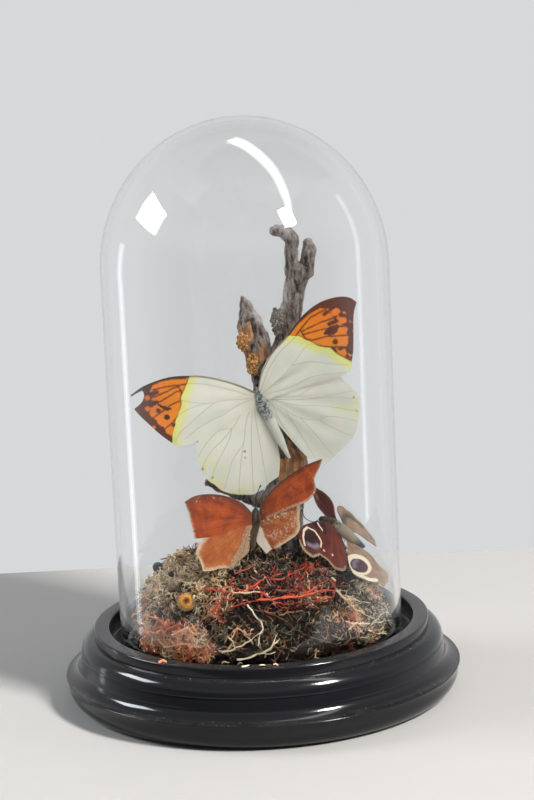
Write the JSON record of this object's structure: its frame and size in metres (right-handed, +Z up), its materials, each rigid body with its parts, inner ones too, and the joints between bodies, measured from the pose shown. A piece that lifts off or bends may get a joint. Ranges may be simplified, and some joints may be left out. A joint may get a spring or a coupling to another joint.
{
  "type": "insect in glass dome",
  "caption": "Mounted butterflies on driftwood and dyed moss under a clear glass dome, on a round turned base lacquered black.",
  "frame": {"origin": "centre of the flat underside of the base, on the table", "axes": "+Z up along the axis of the glass, -Y to the front, where the butterflies show their backs, +X to the viewer's right"},
  "size_m": [0.16, 0.16, 0.2335],
  "materials": {
    "lacquered_wood": "gloss black lacquer",
    "clear_glass": "polished",
    "driftwood": "rough bark and bare weathered wood",
    "lichen": "dry, crumbly",
    "butterfly_white": "matt scales, ivory with orange tips",
    "butterfly_orange": "matt scales, rust orange",
    "butterfly_eyed": "matt scales, maroon with eye spots",
    "moss": "dry dyed strands",
    "dried_fruit": "wrinkled, matt",
    "dried_flower": "matt, velvety"
  },
  "bodies": {
    "root": {"base": "lacquered_wood", "glass_dome": "clear_glass", "branch_trunk": "driftwood", "branch_upper_stem": "driftwood", "branch_left_stub": "driftwood", "branch_top_left_stub": "driftwood", "branch_top_right_stub": "driftwood", "branch_low_stub": "driftwood", "grey_lichen": "lichen", "ochre_lichen_upper": "lichen", "ochre_lichen_lower": "lichen", "white_butterfly": "butterfly_white", "orange_butterfly": "butterfly_orange", "eyed_butterfly": "butterfly_eyed", "button_flower": "dried_flower", "large_berry": "dried_fruit", "small_berry": "dried_fruit", "cream_moss": "moss", "pink_moss": "moss", "red_moss": "moss", "grey_lichen_moss": "moss", "dark_moss_bed": "moss"}
  },
  "joints": []
}
